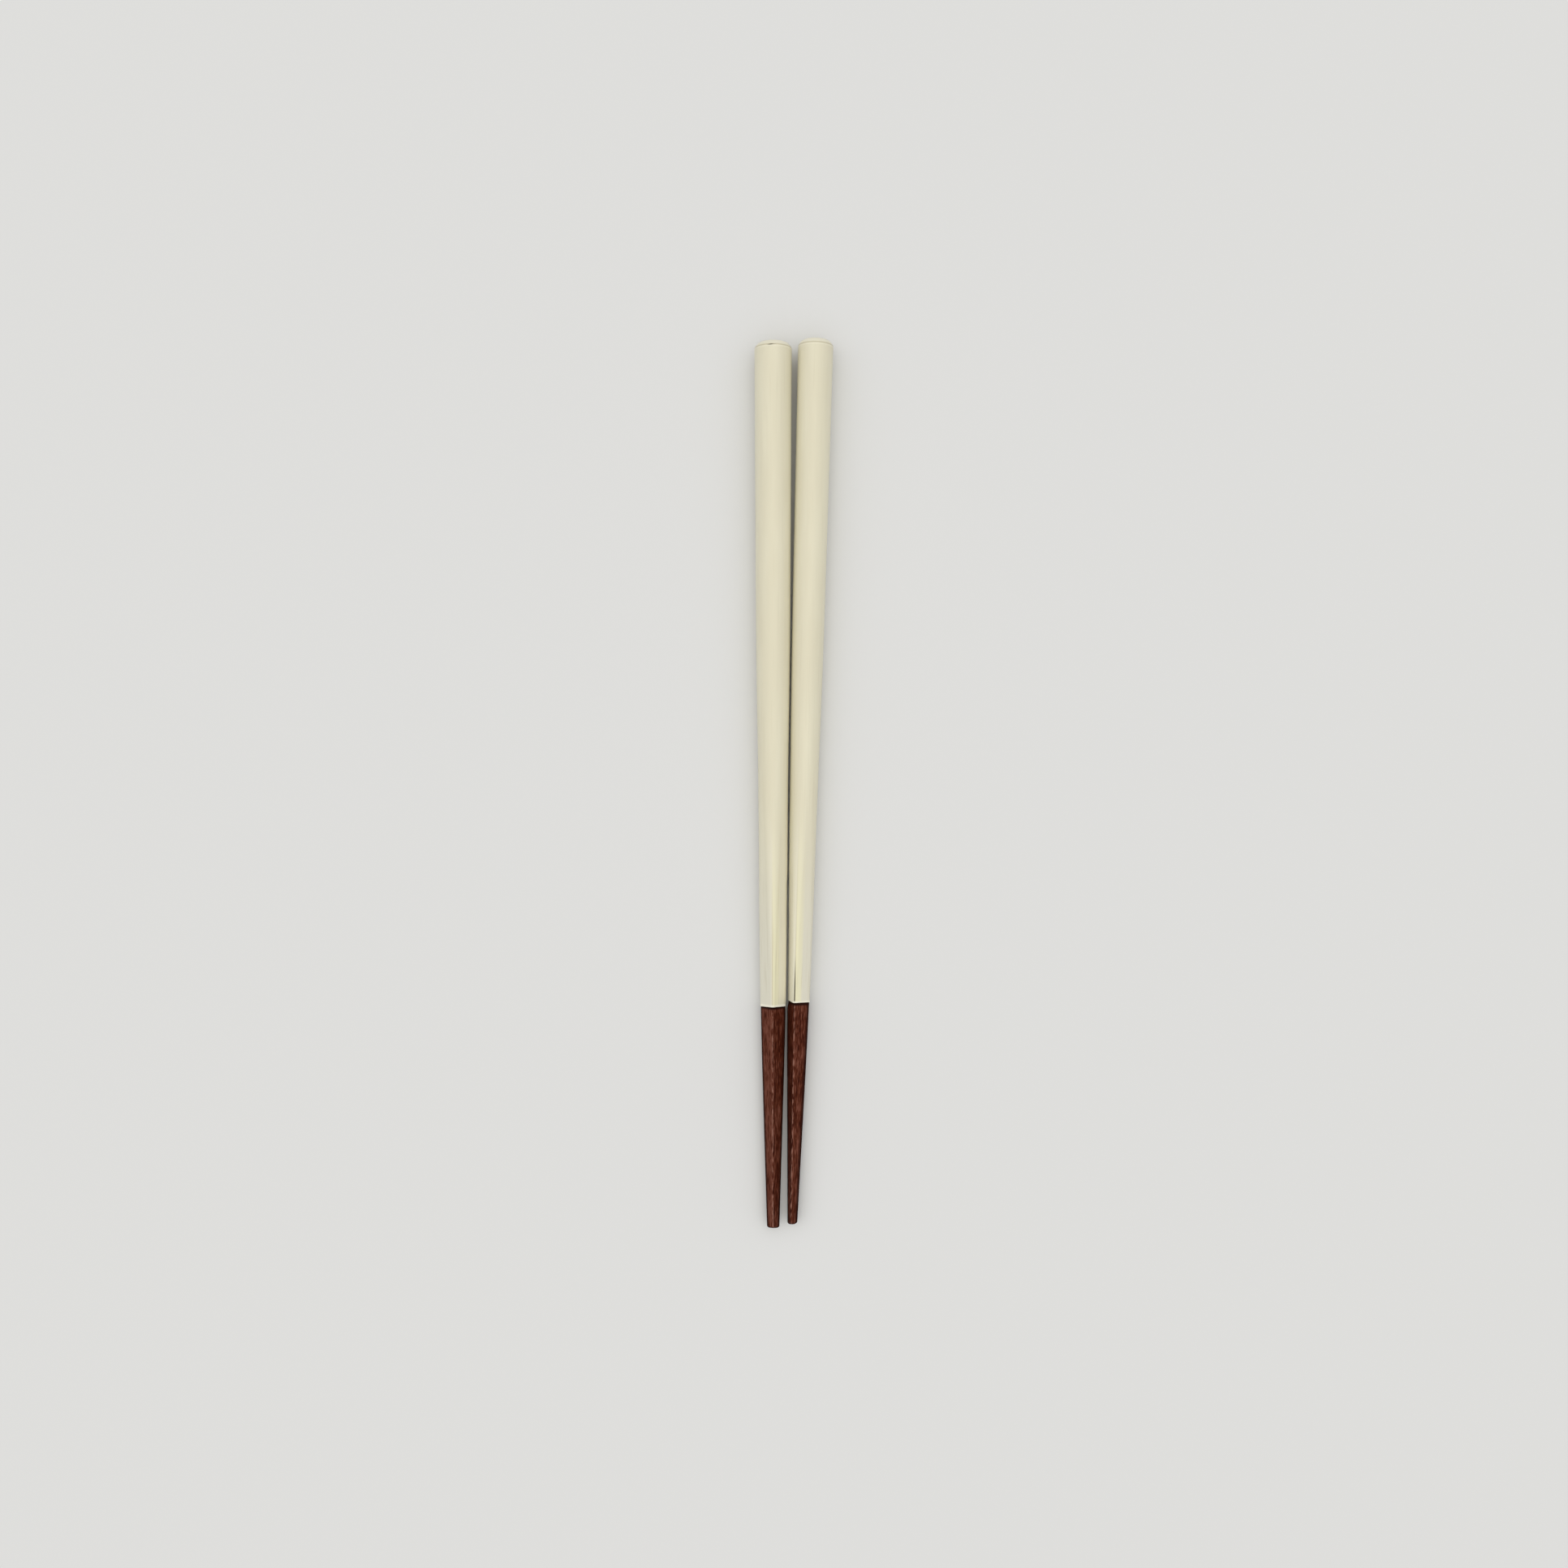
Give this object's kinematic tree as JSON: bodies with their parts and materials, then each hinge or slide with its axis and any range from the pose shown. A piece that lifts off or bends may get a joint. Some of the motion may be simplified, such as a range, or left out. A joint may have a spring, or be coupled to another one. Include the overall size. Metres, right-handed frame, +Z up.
{
  "type": "pair of chopsticks",
  "caption": "Pair of tapered wooden chopsticks, round lacquered grips with domed ends turning into bare square-edged tips, lying side by side for eating.",
  "frame": {"origin": "on the table under the middle of the pair's box", "axes": "+Y along the sticks towards the grip ends, +Z up from the table, +X from the left stick to the right one"},
  "size_m": [0.02, 0.2258, 0.0098],
  "materials": {
    "bare_wood": "satin oiled dark brown wood with fine straight grain",
    "cream_lacquer": "satin cream lacquer"
  },
  "bodies": {
    "root": {"left_stick": "bare_wood", "left_lacquer": "cream_lacquer", "right_stick": "bare_wood", "right_lacquer": "cream_lacquer"}
  },
  "joints": []
}
